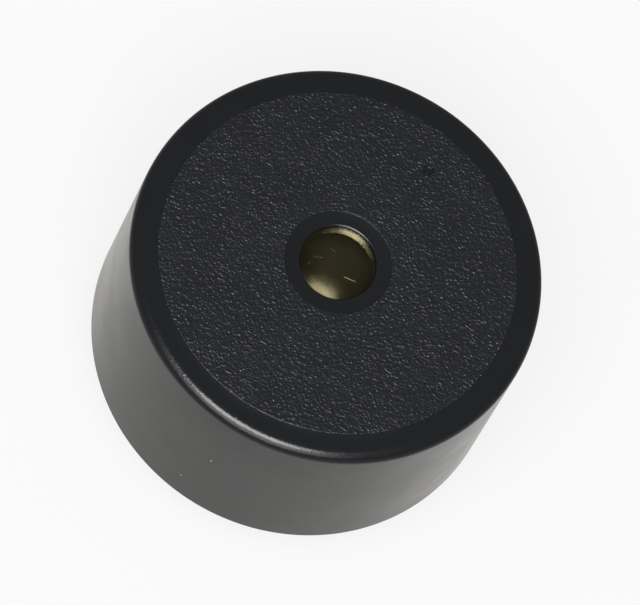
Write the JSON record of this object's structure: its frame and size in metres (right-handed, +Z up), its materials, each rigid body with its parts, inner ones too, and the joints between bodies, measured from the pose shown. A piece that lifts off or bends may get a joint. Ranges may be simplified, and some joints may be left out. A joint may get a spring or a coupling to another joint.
{
  "type": "piezo siren",
  "caption": "Round black piezo siren for a circuit board: moulded cup with a central sound hole, brass sounder disc, driver board and two pins through a resin seal.",
  "frame": {"origin": "centre of the seating plane, where the case's axis meets the board that the siren is soldered to", "axes": "+Z up the case's axis and out of the sound hole, +X towards the positive pin, +Y to complete a right-handed frame"},
  "size_m": [0.0226, 0.0224, 0.017],
  "materials": {
    "case_plastic": "moulded black thermoplastic: polished side and rim, spark-eroded face",
    "silicone": "cured silicone adhesive",
    "brass": "bright rolled brass with fine handling scratches",
    "piezo_ceramic": "sintered ceramic, unglazed",
    "fired_silver": "matt fired silver",
    "solder": "bright solder",
    "tinned_metal": "tinned",
    "red_insulation": "extruded insulation",
    "blue_insulation": "extruded insulation",
    "black_insulation": "extruded insulation",
    "board_laminate": "phenolic paper laminate",
    "copper": "bare copper foil",
    "ferrite": "ground ferrite",
    "enamelled_copper": "enamelled copper wire",
    "component_moulding": "moulded epoxy",
    "resistor_coat": "glass overcoat on alumina",
    "capacitor_ceramic": "sintered ceramic",
    "casting_resin": "cast epoxy resin"
  },
  "bodies": {
    "root": {"housing": "case_plastic", "rib_adhesive": "silicone", "diaphragm": "brass", "piezo_ceramic": "piezo_ceramic", "drive_electrode": "fired_silver", "feedback_electrode": "fired_silver", "disc_solder": "solder", "drive_lead": "red_insulation", "feedback_lead": "blue_insulation", "ground_lead": "black_insulation", "circuit_board": "board_laminate", "board_copper": "copper", "board_solder": "solder", "positive_pin": "tinned_metal", "negative_pin": "tinned_metal", "pin_solder": "solder", "coil_core": "ferrite", "coil_winding": "enamelled_copper", "coil_leads": "tinned_metal", "transistor_body": "component_moulding", "transistor_leads": "tinned_metal", "diode_body": "component_moulding", "diode_leads": "tinned_metal", "base_resistor": "resistor_coat", "feedback_resistor": "resistor_coat", "bleed_resistor": "resistor_coat", "resistor_caps": "tinned_metal", "supply_capacitor": "capacitor_ceramic", "capacitor_caps": "tinned_metal", "seal": "casting_resin"}
  },
  "joints": []
}
